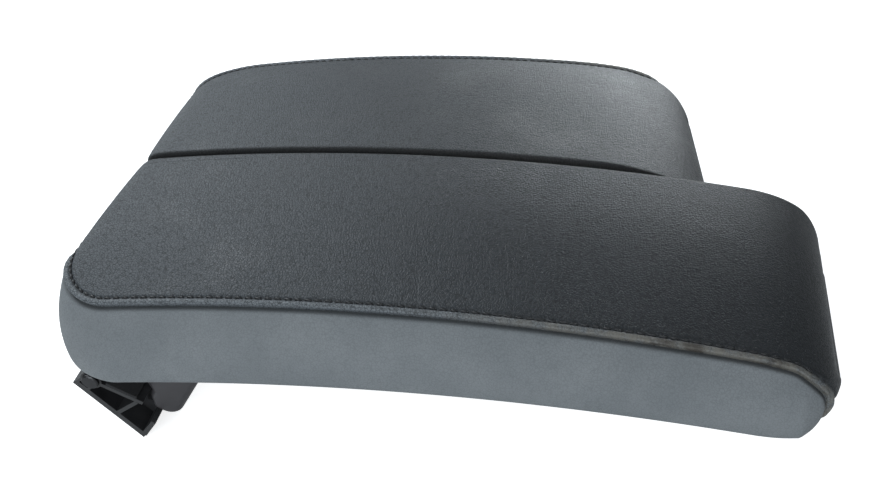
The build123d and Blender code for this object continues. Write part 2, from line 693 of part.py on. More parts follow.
def draw_wall(start, end, thickness):
    """A straight wall of the bracket, drawn in its side view."""
    run = Vector(end[0] - start[0], end[1] - start[1])
    angle = math.degrees(math.atan2(run.Y, run.X))
    with Locations(((start[0] + end[0]) / 2, (start[1] + end[1]) / 2)):
        Rectangle(run.length, thickness, rotation=angle)


pivot = (-PIN_ABOVE_BOLTS, PIN_STANDOFF)
inner_wall_end = (CROSS_RIB_FROM_BOLTS + CROSS_RIB, INNER_WALL_END)
cross_rib_end = (CROSS_RIB_FROM_BOLTS, INNER_WALL_END - INNER_WALL)
toe_top = (FLANGE_BELOW_BOLTS - TOE_LEAN, TOE_HEIGHT)


def draw_pivot_boss():
    """The round boss for the hinge pin and the block that joins it to the flange."""
    with Locations(pivot):
        Circle(PIVOT_BOSS_RADIUS)
    with Locations((pivot[0], pivot[1] / 2)):
        Rectangle(PIVOT_NECK_WIDTH, pivot[1])


def make_bracket():
    """The moulded bracket: a sloping bolt flange, two ribbed cheeks and webs that carry the hinge pin."""
    half_width = BRACKET_WIDTH / 2
    lip_top = FLANGE_BELOW_BOLTS - TOE_LEAN * TOE_LIP_HEIGHT / TOE_HEIGHT
    lip_foot = FLANGE_BELOW_BOLTS - TOE_LEAN * FLANGE / TOE_HEIGHT
    with BuildPart() as bracket:
        with BuildSketch(bracket_side_plane(0)):
            with BuildLine():
                Polyline((-FLANGE_ABOVE_BOLTS, 0), (FLANGE_BELOW_BOLTS, 0), (lip_top, TOE_LIP_HEIGHT),
                         (lip_top - INNER_WALL, TOE_LIP_HEIGHT), (lip_foot - INNER_WALL, FLANGE),
                         (-FLANGE_ABOVE_BOLTS, FLANGE), close=True)
            make_face()
        extrude(amount=half_width, both=True)
        for side in (-1, 1):
            with BuildSketch(bracket_side_plane(side * half_width)):
                draw_pivot_boss()
                draw_wall(pivot, inner_wall_end, INNER_WALL)
                draw_wall((CROSS_RIB_FROM_BOLTS, 0), cross_rib_end, CROSS_RIB)
                draw_wall((FLANGE_BELOW_BOLTS - INNER_WALL / 2, FLANGE / 2),
                          (toe_top[0] - INNER_WALL / 2, toe_top[1]), INNER_WALL)
            extrude(amount=side * CHEEK_WIDTH)
            with BuildSketch(bracket_side_plane(side * (CHEEK_INNER_Y + CHEEK_WEB))):
                with BuildLine():
                    Polyline(pivot, (pivot[0], 0), (FLANGE_BELOW_BOLTS - INNER_WALL, 0),
                             (toe_top[0] - INNER_WALL / 2, toe_top[1] - INNER_WALL),
                             ((toe_top[0] + CROSS_RIB_FROM_BOLTS) / 2, TOE_LIP_HEIGHT),
                             cross_rib_end, close=True)
                make_face()
            extrude(amount=side * CHEEK_WEB)
            with BuildSketch(bracket_side_plane(side * SUPPORT_OUTER_Y)):
                draw_pivot_boss()
                with BuildLine():
                    Polyline((-FLANGE_ABOVE_BOLTS, 0), (CROSS_RIB_FROM_BOLTS, 0), pivot, close=True)
                make_face()
            extrude(amount=side * SUPPORT_WEB)
        with BuildSketch(bracket_side_plane(0)):
            draw_pivot_boss()
            with BuildLine():
                Polyline((-FLANGE_ABOVE_BOLTS, 0), (CROSS_RIB_FROM_BOLTS, 0), pivot, close=True)
            make_face()
        extrude(amount=SUPPORT_WEB, both=True)
        with BuildSketch(Plane((0, 0, 0), x_dir=(0, 1, 0), z_dir=off_face)):
            with GridLocations(BOLT_SPACING, 0, 2, 1):
                Circle(BOLT_PAD_RADIUS)
        extrude(amount=FLANGE + BOLT_PAD_RISE)
        with BuildSketch(Plane((0, 0, 0), x_dir=(0, 1, 0), z_dir=off_face)):
            with GridLocations(BOLT_SPACING, 0, 2, 1):
                Circle(BOLT_HOLE_RADIUS)
        extrude(amount=FLANGE + BOLT_PAD_RISE, mode=Mode.SUBTRACT)
        with BuildSketch(bracket_side_plane(0)):
            with Locations(pivot):
                Circle(PIN_RADIUS + PRESS_FIT)
            with Locations((pivot[0], FLANGE + CABLE_SLOT_WIDTH / 2)):
                SlotOverall(CABLE_SLOT_LENGTH, CABLE_SLOT_WIDTH)
        extrude(amount=BRACKET_WIDTH, both=True, mode=Mode.SUBTRACT)
    return bracket.part


def make_felts():
    """Felt strips bonded along the inner wall of both cheeks."""
    half_width = BRACKET_WIDTH / 2
    run = Vector(inner_wall_end[0] - pivot[0], inner_wall_end[1] - pivot[1])
    lift = Vector(-run.Y, run.X).normalized() * ((INNER_WALL + FELT) / 2)
    start = Vector(*pivot) + run.normalized() * FELT_FROM_PIN + lift
    end = Vector(*inner_wall_end) - run.normalized() * FELT_FROM_WALL_END + lift
    with BuildPart() as felts:
        for side in (-1, 1):
            with BuildSketch(bracket_side_plane(side * half_width)):
                draw_wall((start.X, start.Y), (end.X, end.Y), FELT)
            extrude(amount=side * CHEEK_WIDTH)
    return felts.part


def make_hinge_pin():
    """The long steel pin through the bracket and both arms, with a flat head at the long lid's side."""
    half_width = BRACKET_WIDTH / 2
    with BuildPart() as hinge_pin:
        with BuildSketch(arm_side_plane(half_width + PIN_END)):
            Circle(PIN_RADIUS)
        extrude(amount=BRACKET_WIDTH + PIN_END)
        with BuildSketch(arm_side_plane(-half_width)):
            Circle(PIN_HEAD_RADIUS)
        extrude(amount=PIN_HEAD)
        chamfer(faces().sort_by(Axis.Y)[0].edges(), PIN_HEAD / 3)
    return hinge_pin.part


def make_pin_clip():
    """The push-on clip that holds the pin at the short lid's side."""
    with BuildPart() as clip:
        with BuildSketch(arm_side_plane(BRACKET_WIDTH / 2 + AXIAL_PLAY + CLIP)):
            Circle(CLIP_RADIUS)
            Circle(PIN_RADIUS + PRESS_FIT, mode=Mode.SUBTRACT)
        extrude(amount=CLIP)
    return clip.part


def lid_pieces(lid):
    """Every piece of one lid, by name."""
    top_cover, side_cover = make_covers(lid)
    arm_seat = ARM_SEAT - ARM_FOOT - PANEL_RECESS
    return {
        "top_cover": top_cover,
        "side_cover": side_cover,
        "foam_pad": make_foam(lid),
        "lid_frame": make_frame(lid),
        "inner_panel": make_panel(lid),
        "hinge_arm": make_arm(lid),
        "arm_bushes": make_bushes(lid),
        "arm_screws": make_screws(lid, arm_screw_places(),
                                  lambda x: lowest_panel_z(x, SCREW_HEAD_RADIUS) + arm_seat,
                                  ARM_FOOT + FRAME_TOP - ARM_SEAT - FRAME_PLATE / 2),
        "panel_screws": make_screws(lid, panel_screw_places(lid),
                                    lambda x: lowest_panel_z(x, SCREW_HEAD_RADIUS), PANEL + SCREW_BITE),
        "closing_buffers": make_buffers(lid),
        "release_lever": make_lever(lid),
        "lever_pin": make_lever_pin(lid),
        "lever_spring": make_lever_spring(lid),
    }


pieces = {
    "hinge_bracket": make_bracket(),
    "bracket_felts": make_felts(),
    "hinge_pin": make_hinge_pin(),
    "pin_clip": make_pin_clip(),
}
for lid in (LONG_LID, SHORT_LID):
    pieces.update({f"{lid.name}_{name}": piece for name, piece in lid_pieces(lid).items()})

for name, piece in pieces.items():
    piece.label = name
    export_step(piece, f"parts/{name}.step")
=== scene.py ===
"""Split centre console armrest lid: its leather pads, stitching, finishes, camera, light and floor."""
import json
import math
from dataclasses import dataclass

import bpy
import numpy as np
from mathutils import Matrix, Vector


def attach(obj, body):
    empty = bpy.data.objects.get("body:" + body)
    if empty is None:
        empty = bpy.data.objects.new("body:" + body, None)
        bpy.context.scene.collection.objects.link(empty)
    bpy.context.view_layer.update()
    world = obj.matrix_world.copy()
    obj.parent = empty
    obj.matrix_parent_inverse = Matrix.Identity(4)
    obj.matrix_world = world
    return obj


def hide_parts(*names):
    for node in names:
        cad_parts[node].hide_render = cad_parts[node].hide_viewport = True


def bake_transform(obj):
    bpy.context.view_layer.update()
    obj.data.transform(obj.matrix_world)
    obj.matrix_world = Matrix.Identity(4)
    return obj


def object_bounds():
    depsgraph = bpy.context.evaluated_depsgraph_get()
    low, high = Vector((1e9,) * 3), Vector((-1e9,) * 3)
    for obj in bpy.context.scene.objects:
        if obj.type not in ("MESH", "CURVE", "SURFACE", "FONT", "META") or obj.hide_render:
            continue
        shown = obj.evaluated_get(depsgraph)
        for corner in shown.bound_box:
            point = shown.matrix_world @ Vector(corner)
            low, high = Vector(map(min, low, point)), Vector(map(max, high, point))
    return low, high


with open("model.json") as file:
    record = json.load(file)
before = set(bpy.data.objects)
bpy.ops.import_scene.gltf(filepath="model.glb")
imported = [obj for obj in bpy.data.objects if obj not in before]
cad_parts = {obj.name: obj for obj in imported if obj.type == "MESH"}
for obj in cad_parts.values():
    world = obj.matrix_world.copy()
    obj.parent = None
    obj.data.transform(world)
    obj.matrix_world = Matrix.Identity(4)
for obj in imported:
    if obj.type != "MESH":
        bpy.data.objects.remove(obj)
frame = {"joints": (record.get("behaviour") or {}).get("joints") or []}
cad_low, cad_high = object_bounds()
MM = 0.001


@dataclass
class Lid:
    """One half of the armrest, in millimetres; side is -1 for the half at -Y."""

    name: str
    side: int
    length: float
    width: float
    front_skew: float
    front_corner: float
    front_roll: float
    front_hem: float


LONG_LID = Lid(name="long", side=-1, length=350.5, width=102.0, front_skew=7.3, front_corner=16.0,
               front_roll=40.0, front_hem=18.5)
SHORT_LID = Lid(name="short", side=1, length=299.5, width=121.0, front_skew=10.0, front_corner=38.0,
                front_roll=62.0, front_hem=23.0)

# Pad form, in millimetres from the lids' rear end, the gap and the lids' base
LID_OVER_PIN = 17.0
LID_REAR_FROM_PIN = 1.0
HALF_GAP = 1.0
ARCH_SPAN = 348.0
ARCH_RISE = 13.5
SEAM_REAR = 39.5
SEAM_FRONT = 34.0
CROWN = 12.0
CROWN_POWER = 2.2
REAR_ROLL = 16.6
REAR_ROLL_POWER = 3.0
FRONT_ROLL_POWER = 2.2
FRONT_WALL = 22.0
SIDE_BOW = 6.8
FRONT_WIDENING = 3.4
REAR_GAP_CORNER = 8.0
REAR_CORNER = 31.0
REAR_SKEW = 7.5
FRONT_GAP_CORNER = 12.0
SIDE_FLARE = 13.5
SIDE_BULGE = 4.9
FLARE_FADE_START = 5.0
FLARE_FADE = 20.0
FRONT_FLARE_LOSS = 0.6
FRONT_BULGE_LOSS = 0.4
FRONT_TUCK = 4.0
FRONT_ROUND = 34.0
FULLEST_ROUND = 0.98
FRONT_RISE = 11.0
REAR_STEEPNESS = 0.3
EDGE_LIFT_FRONT = 3.6
HEM = 12.5
HEM_OVER_BASE = 0.3

# Mesh density: stations along the outline, and points and rows down a wall
EDGE_BAND = 6.0
STATIONS_ALONG = 270
STATIONS_ACROSS = 90
HEEL_STATION = STATIONS_ACROSS // 8
STATION_CROWDING = 0.45
BAND_POINTS = 16
WALL_POINTS = 80
HEM_POINTS = 26
ROWS_TO_SEAM = 28
ROWS_TO_HEM = 24
ROWS_SIDE = 48
SIDE_ROW_CROWDING = 1.25
LEAST_FLAP = 0.05
FLAP_BREAK = 10.0

# Rounding of a wall section's corners, in rows
SEAM_EDGE_BLUR = 2.6
GAP_EDGE_BLUR = 5.5
LOWER_EDGE_BLUR = 6.5
LEAST_BLUR = 0.05
BLUR_REACH = 2.2
END_ROWS_PER_BLUR = 3

# Sewn seam
SEAM_BELOW_EDGE = 1.0
NOSE_SHARE = 0.5
NOSE_LENGTH = 14.0
NOSE_SETBACK = 5.0
HEEL_LENGTH = 15.0
NOSE_REACH = NOSE_LENGTH + 10.0
HEEL_REACH = 25.0
SEAM_REACH = 14.0
STITCH_SETBACK = 4.3
STITCH_PITCH = 4.5
STITCH_LENGTH = 3.5
STITCH_SLANT = 0.22
STITCH_DIP = 2.3
FIRST_STITCH = 2
THREAD_RADIUS = 0.55
THREAD_TAPER = 0.45
THREAD_SIDES = 8
THREAD_RINGS = 9
FOLD_RISE = 0.9
FOLD_WIDTH = 1.7
FOLD_TUCK = 1.5
FOLD_TUCK_WIDTH = 0.55
STITCH_GROOVE = 0.7
STITCH_GROOVE_WIDTH = 0.9
PUCKER = 0.10
PUCKER_SETBACK = 2.6
PUCKER_WIDTH = 1.8
SIDE_TUCK = 1.9
SIDE_TUCK_WIDTH = 1.3
FAR_FROM_SEAM = 50.0

# Edges of the hard pieces
EDGE_ROUNDING = 0.4
EDGE_ANGLE = 40.0
WELD_REACH = 0.001

# Colours of the leather and the thread, and the leather's grain in metres and cells per metre
LEATHER_REAR = (0.064, 0.074, 0.085, 1)
# The front colour is partly the darker, handled front leather and partly painted shade where the light
# falls off to the front
LEATHER_FRONT = (0.008, 0.0105, 0.014, 1)
LEATHER_FOLD = (0.145, 0.162, 0.178, 1)
# Painted shade for the stitch groove and its needle holes
GROOVE_SHADE = (0.006, 0.007, 0.008, 1)
# Painted shade for the grain's creases and pores
PIT_AND_CREASE_SHADE = (0.004, 0.005, 0.006, 1)
RUBBED_BEIGE = (0.155, 0.145, 0.125, 1)
SCUFF_BROWN = (0.035, 0.028, 0.022, 1)
SPECK_BLACK = (0.004, 0.004, 0.004, 1)
GAP_SHADE = (0.002, 0.002, 0.002, 1)
SIDE_LEATHER = (0.150, 0.165, 0.176, 1)
SIDE_LEATHER_PALE = (0.185, 0.200, 0.211, 1)
# Painted shade for the side leather's grain creases
SIDE_CREASE_SHADE = (0.08, 0.088, 0.094, 1)
# Painted shade where the side leather dives into the seam
SEAM_TUCK_SHADE = (0.02, 0.021, 0.022, 1)
THREAD_DARK = (0.003, 0.003, 0.004, 1)
THREAD_LIGHT = (0.016, 0.017, 0.019, 1)
GRAIN_WANDER = (0.0012, 0.0012, 0.0012)
GRAIN_WANDER_SCALE = 420.0
PEBBLE_SCALE = 760
FINE_GRAIN_SCALE = 1500
TOP_GRAIN_DEPTH = 0.00021
SIDE_GRAIN_DEPTH = 0.0001
THREAD_TWIST_SCALE = 2500
THREAD_TWIST_DEPTH = 0.0001

# Camera, as pixels of the photograph's frame and millimetres from the lids' rear end at the gap
PHOTO_WIDTH = 894
FOCAL_PIXELS = 907.4
CAMERA_PLACE = (236.0, -377.7, 305.6)
CAMERA_TARGET = (164.0, 0.0, 2.1)
CAMERA_ROLL = -0.059
SENSOR_WIDTH = 36.0

# Floor and sky, in metres
FLOOR_GLOW = 0.75
FLOOR_REACH = 60.0
FLOOR_DROP = 0.0005
PAPER = (0.85, 0.85, 0.85, 1)
DAYLIGHT = (0.9, 0.96, 1.0)
SKY_STRENGTH = 0.27
WHITE = (1, 1, 1, 1)

lid_hinge = next(j for j in frame["joints"] if j["name"] == "long_lid_hinge")
pad_origin = Vector(lid_hinge["pos_m"]) + Vector((LID_REAR_FROM_PIN, 0, LID_OVER_PIN)) * MM


# Pad surface

def arch(x):
    """Rise of the lids' lengthwise arch."""
    share = x / ARCH_SPAN
    return ARCH_RISE * 4 * share * (1 - share)


def seam_height(x):
    """Height of the sewn edge, which falls a little to the front."""
    return SEAM_REAR + (SEAM_FRONT - SEAM_REAR) * x / ARCH_SPAN + arch(x)


def side_shift(x):
    """How far the outer side stands outside a straight line at x."""
    share = x / ARCH_SPAN
    return SIDE_BOW * 4 * share * (1 - share) + FRONT_WIDENING * share


def roll(distance, length, power):
    """Rises from 0 at an edge to 1 at a distance inside it, upright at the edge."""
    inside = np.clip(distance / length, 0, 1)
    return (1 - (1 - inside) ** power) ** (1 / power)


def top_height(lid, x, v):
    """Height of the top leather at x from the rear end and v from the gap."""
    local_width = lid.width + side_shift(x)
    crown = CROWN * (1 - np.clip(v / local_width, 0, 1) ** CROWN_POWER)
    full = seam_height(x) + crown * roll(x + REAR_SKEW * v / lid.width, REAR_ROLL, REAR_ROLL_POWER)
    wall = arch(x) + FRONT_WALL
    front = lid.length - lid.front_skew * v / lid.width - x
    return wall + (full - wall) * roll(front, lid.front_roll, FRONT_ROLL_POWER)


def unit_rows(rows):
    """Vectors brought to length 1."""
    return rows / np.linalg.norm(rows, axis=1)[:, None]


def corner_arc(before, corner, after, radius, points=60):
    """The rounded corner of an outline, as points along its arc."""
    to_before = (before - corner) / np.linalg.norm(before - corner)
    to_after = (after - corner) / np.linalg.norm(after - corner)
    half = math.acos(float(np.dot(to_before, to_after))) / 2
    middle = (to_before + to_after) / np.linalg.norm(to_before + to_after)
    centre = corner + middle * radius / math.sin(half)
    first = corner + to_before * radius / math.tan(half) - centre
    last = corner + to_after * radius / math.tan(half) - centre
    turn = math.acos(float(np.dot(first, last)) / radius**2)
    angles = np.linspace(0, 1, points)[:, None] * turn
    return centre + (np.sin(turn - angles) * first + np.sin(angles) * last) / math.sin(turn)


def resample(path, count, crowding=0.0):
    """Points along a path; crowding above 0 brings them closer together towards its end."""
    steps = np.linalg.norm(np.diff(path, axis=0), axis=1)
    run = np.concatenate([[0], np.cumsum(steps)])
    share = np.linspace(0, 1, count)
    share = share + crowding * share * (1 - share)
    return np.stack([np.interp(share * run[-1], run, path[:, k]) for k in range(2)], axis=1)


def lid_sides(lid):
    """The lid's plan outline as its rear, outer, front and gap sides, cut in the middle of each corner."""
    front_outer = (lid.length - lid.front_skew, lid.width)
    corners = np.array([(0, 0), (-REAR_SKEW, lid.width), front_outer, (lid.length, 0)], float)
    radii = (REAR_GAP_CORNER, REAR_CORNER, lid.front_corner, FRONT_GAP_CORNER)
    arcs = [corner_arc(corners[k - 1], corners[k], corners[(k + 1) % 4], radii[k]) for k in range(4)]
    sides = []
    for k, crowding in enumerate((0.0, STATION_CROWDING, 0.0, -STATION_CROWDING)):
        start, end = arcs[k], arcs[(k + 1) % 4]
        path = np.concatenate([start[len(start) // 2:], end[:len(end) // 2 + 1]])
        path[:, 1] += path[:, 1] / lid.width * side_shift(path[:, 0])
        sides.append(resample(path, STATIONS_ALONG if crowding else STATIONS_ACROSS, crowding))
    return sides


def outward_normals(plan):
    """Unit normals of a closed outline that runs rear, outer, front, gap."""
    run = np.roll(plan, -1, axis=0) - np.roll(plan, 1, axis=0)
    return unit_rows(np.stack([-run[:, 1], run[:, 0]], axis=1))


def blur_rows(corner_blurs, count):
    """A matrix that rounds a wall section at its corners, given as pairs of a row and a width in rows."""
    rows = np.arange(count)
    widths = np.full(count, LEAST_BLUR)
    for row, width in corner_blurs:
        widths = np.maximum(widths, width * np.exp(-((rows - row) / (BLUR_REACH * width)) ** 2))
    ends = np.minimum(rows, count - 1 - rows)
    widths = np.minimum(widths, LEAST_BLUR + ends / END_ROWS_PER_BLUR)
    weights = np.exp(-0.5 * ((rows[None, :] - rows[:, None]) / widths[:, None]) ** 2)
    return weights / weights.sum(axis=1, keepdims=True)


class PadSurface:
    """The pad's wall all round: stations along the outline, and a section from the top band to the hem."""

    def __init__(self, lid):
        self.lid = lid
        self.sides = lid_sides(lid)
        self.plan = np.concatenate([side[:-1] for side in self.sides])
        self.normal = outward_normals(self.plan)
        steps = np.linalg.norm(np.roll(self.plan, -1, axis=0) - self.plan, axis=1)
        self.run = np.concatenate([[0], np.cumsum(steps)])[:-1]
        corner = STATIONS_ACROSS + STATIONS_ALONG - 2
        self.nose = int(np.searchsorted(self.run, self.run[corner] - NOSE_SETBACK))
        self.heel = HEEL_STATION
        self.build_sections()
        self.upper_seam, self.lower_seam = self.seam_lines()

    def build_sections(self):
        """Offset, height and depth of every section's points, from the top band down to the hem."""
        lid, plan, normal = self.lid, self.plan, self.normal
        count = len(plan)
        inward = np.linspace(-EDGE_BAND, 0, BAND_POINTS)
        band_x = plan[:, :1] + normal[:, :1] * inward
        band_v = plan[:, 1:] + normal[:, 1:] * inward
        band_z = top_height(lid, band_x, band_v)
        x, v = plan[:, :1], plan[:, 1:]
        share = np.linspace(1, 0, WALL_POINTS + 1)[1:][None, :]
        outside = np.clip((v - FLARE_FADE_START) / FLARE_FADE, 0, 1)
        at_front = np.clip(normal[:, :1], 0, 1)
        at_rear = np.clip(-normal[:, :1], 0, 1)
        near_front = np.clip((x - lid.length + lid.front_skew + FRONT_ROUND) / FRONT_ROUND, 0, 1)
        rounding = 1 - np.sqrt(1 - np.clip(near_front, 0, FULLEST_ROUND) ** 2)
        rear_share = 1 - REAR_STEEPNESS * at_rear
        flare = SIDE_FLARE * (1 - share) * (1 - at_front) * rear_share * (1 - FRONT_FLARE_LOSS * rounding)
        tuck = FRONT_TUCK * at_front * (1 - share) ** 2
        bulge = SIDE_BULGE * np.sin(np.pi * share) * (1 - FRONT_BULGE_LOSS * at_front) * rear_share
        wall_out = outside * (bulge + flare - tuck)
        low = arch(x) + outside * (EDGE_LIFT_FRONT * x / ARCH_SPAN + FRONT_RISE * rounding)
        wall_z = low + (band_z[:, -1:] - low) * share
        inside = np.linspace(0, 1, HEM_POINTS + 1)[1:][None, :]
        hem_out = wall_out[:, -1:] - (HEM + (lid.front_hem - HEM) * at_front) * inside
        hem_z = low + (arch(x) + HEM_OVER_BASE - low) * inside
        offset = np.concatenate([np.repeat(inward[None, :], count, 0), wall_out, hem_out], axis=1)
        height = np.concatenate([band_z, wall_z, hem_z], axis=1)
        points = offset.shape[1]
        edge, foot = BAND_POINTS - 1, BAND_POINTS + WALL_POINTS - 1
        sewn = blur_rows([(edge, SEAM_EDGE_BLUR), (foot, LOWER_EDGE_BLUR)], points)
        soft = blur_rows([(edge, GAP_EDGE_BLUR), (foot, LOWER_EDGE_BLUR)], points)
        self.offset = (offset @ sewn.T) * outside + (offset @ soft.T) * (1 - outside)
        self.height = (height @ sewn.T) * outside + (height @ soft.T) * (1 - outside)
        steps = np.hypot(np.diff(self.offset, axis=1), np.diff(self.height, axis=1))
        length = np.concatenate([np.zeros((count, 1)), np.cumsum(steps, axis=1)], axis=1)
        self.depth = length - length[:, edge:edge + 1]
        self.foot_depth = self.depth[:, foot]
        self.end_depth = self.depth[:, -1]

    def nose_depth(self):
        """Depth of the side leather's rounded end, half way down the wall."""
        return SEAM_BELOW_EDGE + NOSE_SHARE * (self.foot_depth - SEAM_BELOW_EDGE)

    def seam_depths(self):
        """Depth of the seam above and below the side leather at each station between its two ends."""
        stations = np.arange(self.heel, self.nose + 1)
        from_heel = self.run[stations] - self.run[self.heel]
        to_nose = self.run[self.nose] - self.run[stations]
        drop = 1 - np.sqrt(1 - (1 - np.clip(to_nose / NOSE_LENGTH, 0, 1)) ** 2)
        drop += 1 - np.sqrt(1 - (1 - np.clip(from_heel / HEEL_LENGTH, 0, 1)) ** 2)
        nose = self.nose_depth()[stations]
        end = self.end_depth[stations]
        upper = SEAM_BELOW_EDGE + (nose - SEAM_BELOW_EDGE) * drop
        lower = end - (end - nose) * drop
        return stations, upper, lower

    def seam_lines(self):
        """The seam above the side leather and the seam below its two ends, as (run, depth) points."""
        stations, upper, lower = self.seam_depths()
        run = self.run[stations]
        near_end = (run < run[0] + HEEL_LENGTH) | (run > run[-1] - NOSE_LENGTH)
        return np.stack([run, upper], axis=1), np.stack([run, lower], axis=1)[near_end]

    def section(self, station, depths):
        """Offset, height and the section's normal at depths down one station's wall."""
        profile = self.depth[station]
        offset = np.interp(depths, profile, self.offset[station])
        height = np.interp(depths, profile, self.height[station])
        slope_out = np.interp(depths, profile, np.gradient(self.offset[station], profile))
        slope_z = np.interp(depths, profile, np.gradient(self.height[station], profile))
        length = np.hypot(slope_out, slope_z)
        return offset, height, -slope_z / length, slope_out / length

    def column(self, station, depths, lift):
        """Points down one station's wall, raised by lift along the surface's normal."""
        offset, height, out, up = self.section(station, depths)
        plan = self.plan[station] + self.normal[station] * (offset + lift * out)[:, None]
        return np.column_stack([plan, height + lift * up])

    def point(self, run, depth, lift):
        """One point of the wall between two stations, raised by lift."""
        station = int(np.clip(np.searchsorted(self.run, run), 1, len(self.run) - 1))
        before, after = self.run[station - 1], self.run[station]
        share = (run - before) / (after - before)
        pair = [self.column(s, np.array([depth]), np.array([lift]))[0] for s in (station - 1, station)]
        return pair[0] * (1 - share) + pair[1] * share


def distance_to_path(points, path):
    """Shortest distance from each (run, depth) point to a path of such points."""
    best = np.full(len(points), 1e9)
    for first, last in zip(path[:-1], path[1:]):
        along = last - first
        size = max(float(along @ along), 1e-12)
        share = np.clip((points - first) @ along / size, 0, 1)
        best = np.minimum(best, np.linalg.norm(points - first - share[:, None] * along, axis=1))
    return best


def seam_distance(surface, station, depths):
    """Distance to the seam from depths down one station's wall, worked out only near the seam."""
    seam = surface.upper_seam
    run = surface.run[station]
    points = np.column_stack([np.full(len(depths), run), depths])
    distance = np.full(len(depths), FAR_FROM_SEAM)
    seam_depth = np.interp(run, seam[:, 0], seam[:, 1])
    near = (np.abs(depths - seam_depth) < SEAM_REACH) | (run > seam[-1, 0] - 2 * NOSE_LENGTH)
    near &= run < seam[-1, 0] + 2 * NOSE_LENGTH
    if near.any():
        distance[near] = distance_to_path(points[near], seam)
    if run > seam[-1, 0] - NOSE_REACH or run < seam[0, 0] + HEEL_REACH:
        distance = np.minimum(distance, distance_to_path(points, surface.lower_seam))
    return distance


def top_lift(distance, run):
    """How the top leather is raised near its seam: rolled edge, stitched groove and slight puckers."""
    fold = FOLD_RISE * np.exp(-((distance - FOLD_WIDTH) / FOLD_WIDTH) ** 2)
    tuck = -(FOLD_TUCK + FOLD_RISE) * np.exp(-((distance / FOLD_TUCK_WIDTH) ** 2))
    groove = -STITCH_GROOVE * np.exp(-(((distance - STITCH_SETBACK) / STITCH_GROOVE_WIDTH) ** 2))
    near_fold = np.exp(-(((distance - PUCKER_SETBACK) / PUCKER_WIDTH) ** 2))
    puckers = PUCKER * np.cos(2 * np.pi * run / STITCH_PITCH) * near_fold
    return fold + tuck + groove + puckers


def side_lift(distance):
    """How the side leather dives into the seam."""
    return -SIDE_TUCK * np.exp(-((distance / SIDE_TUCK_WIDTH) ** 2))


class MeshMaker:
    """Collects points in pad millimetres and quads, with each point's distance to the seam."""

    def __init__(self, lid):
        self.lid = lid
        self.points = []
        self.seam_distances = []
        self.faces = []
        self.known = {}

    def add(self, point):
        """The index of a point, which is kept once however often it is added."""
        key = tuple(np.round(point[:3], 3))
        if key not in self.known:
            self.known[key] = len(self.points)
            self.points.append(point[:3])
            self.seam_distances.append(point[3] if len(point) > 3 else FAR_FROM_SEAM)
        return self.known[key]

    def add_grid(self, grid):
        """Joins columns of points with quads; a point's fourth value is its distance to the seam."""
        index = [[self.add(p) for p in column] for column in grid]
        for first, second in zip(index[:-1], index[1:]):
            for k in range(len(first) - 1):
                face = [first[k], first[k + 1], second[k + 1], second[k]]
                face = [f for n, f in enumerate(face) if f != face[n - 1]]
                if len(face) > 2:
                    self.faces.append(face[::-1] if self.lid.side > 0 else face)

    def finish(self, name, body, slot):
        """Makes the piece, smooth and placed in the frame."""
        pad = np.array(self.points)
        placed = np.column_stack([pad[:, 0], self.lid.side * (pad[:, 1] + HALF_GAP), pad[:, 2]]) * MM
        mesh = bpy.data.meshes.new(name)
        mesh.from_pydata((placed + np.array(pad_origin)).tolist(), [], self.faces)
        mesh.polygons.foreach_set("use_smooth", [True] * len(mesh.polygons))
        mesh.attributes.new("seam_mm", "FLOAT", "POINT").data.foreach_set("value", self.seam_distances)
        mesh.validate()
        piece = bpy.data.objects.new(name, mesh)
        bpy.context.scene.collection.objects.link(piece)
        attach(piece, body)
        return piece


def coons_patch(rear, outer, front, gap):
    """A grid of plan points inside four sides; the sides run round the outline one after another."""
    low, high = gap[::-1], outer
    left, right = rear, front[::-1]
    u = np.linspace(0, 1, len(low))[:, None, None]
    w = np.linspace(0, 1, len(left))[None, :, None]
    across = (1 - w) * low[:, None, :] + w * high[:, None, :]
    along = (1 - u) * left[None, :, :] + u * right[None, :, :]
    corners = ((1 - u) * (1 - w) * low[0] + u * (1 - w) * low[-1]
               + (1 - u) * w * high[0] + u * w * high[-1])
    return across + along - corners


def split_at_break(columns):
    """Two runs of columns, parted where neighbours stand far from each other."""
    for k in range(1, len(columns)):
        if np.abs(columns[k][0][:2] - columns[k - 1][0][:2]).sum() > FLAP_BREAK:
            return columns[:k], columns[k:]
    return columns, []


def make_top_leather(surface):
    """The top leather: the crowned top, the gap side, the front, and the sewn edge along the seam."""
    lid = surface.lid
    maker = MeshMaker(lid)
    stations, upper, lower = surface.seam_depths()
    first, last = stations[0], stations[-1]
    nose, hem = surface.nose_depth(), surface.end_depth
    to_seam = np.linspace(0, 1, ROWS_TO_SEAM)
    to_hem = np.linspace(0, 1, ROWS_TO_HEM)

    def wall_column(station, start, end, shares):
        """Points down one station's wall from depth start to end, each with its distance to the seam."""
        depths = start + (end - start) * shares
        near = seam_distance(surface, station, depths)
        lift = top_lift(near, surface.run[station])
        return np.column_stack([surface.column(station, depths, lift), near])

    ring = list(range(len(surface.plan))) + [0]
    upper_grid = []
    for station in ring:
        end = upper[station - first] if first <= station <= last else nose[station]
        upper_grid.append(wall_column(station, -EDGE_BAND, end, to_seam))
    maker.add_grid(upper_grid)
    for unsewn in (ring[last:], ring[:first + 1]):
        maker.add_grid([wall_column(s, nose[s], hem[s], to_hem) for s in unsewn])
    flaps = [wall_column(s, start, hem[s], to_hem) for s, start in zip(stations, lower)
             if hem[s] - start > LEAST_FLAP]
    for flap in split_at_break(flaps):
        maker.add_grid(flap)
    maker.add_grid(crowned_top(surface, np.array([column[0][:3] for column in upper_grid])))
    return maker


